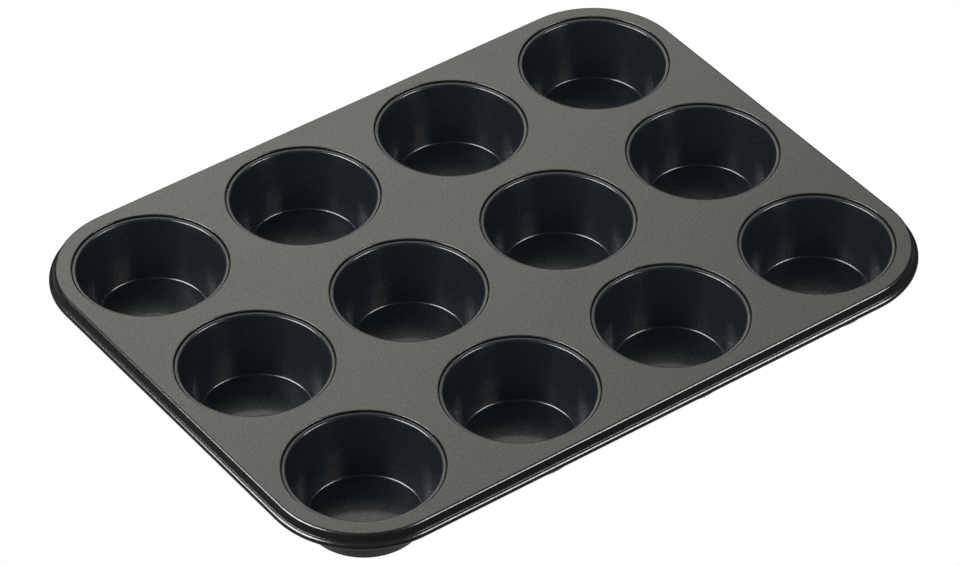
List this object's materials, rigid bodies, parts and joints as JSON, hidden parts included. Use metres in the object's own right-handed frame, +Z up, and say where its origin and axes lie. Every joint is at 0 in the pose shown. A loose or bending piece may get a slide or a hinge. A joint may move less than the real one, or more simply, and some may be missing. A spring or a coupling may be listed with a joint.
{
  "type": "muffin tin",
  "caption": "Rectangular non-stick muffin tin with round tapered cups crimped into a flat deck and a rolled wire rim, for baking muffins and cupcakes.",
  "frame": {"origin": "on the resting plane, under the middle of the tin", "axes": "+X along the four columns of cups, the tin's longest side; +Y along the three rows; +Z up out of the cups' mouths"},
  "size_m": [0.3518, 0.266, 0.0308],
  "materials": {
    "deck_coating": "semi-gloss dark grey non-stick coating, faintly speckled",
    "cup_coating": "semi-gloss black non-stick coating",
    "wire_steel": "bare drawn steel wire, hidden in the rolled rim"
  },
  "bodies": {
    "root": {"deck": "deck_coating", "cup_row1_col1": "cup_coating", "cup_row1_col2": "cup_coating", "cup_row1_col3": "cup_coating", "cup_row1_col4": "cup_coating", "cup_row2_col1": "cup_coating", "cup_row2_col2": "cup_coating", "cup_row2_col3": "cup_coating", "cup_row2_col4": "cup_coating", "cup_row3_col1": "cup_coating", "cup_row3_col2": "cup_coating", "cup_row3_col3": "cup_coating", "cup_row3_col4": "cup_coating", "rim_wire": "wire_steel"}
  },
  "joints": []
}
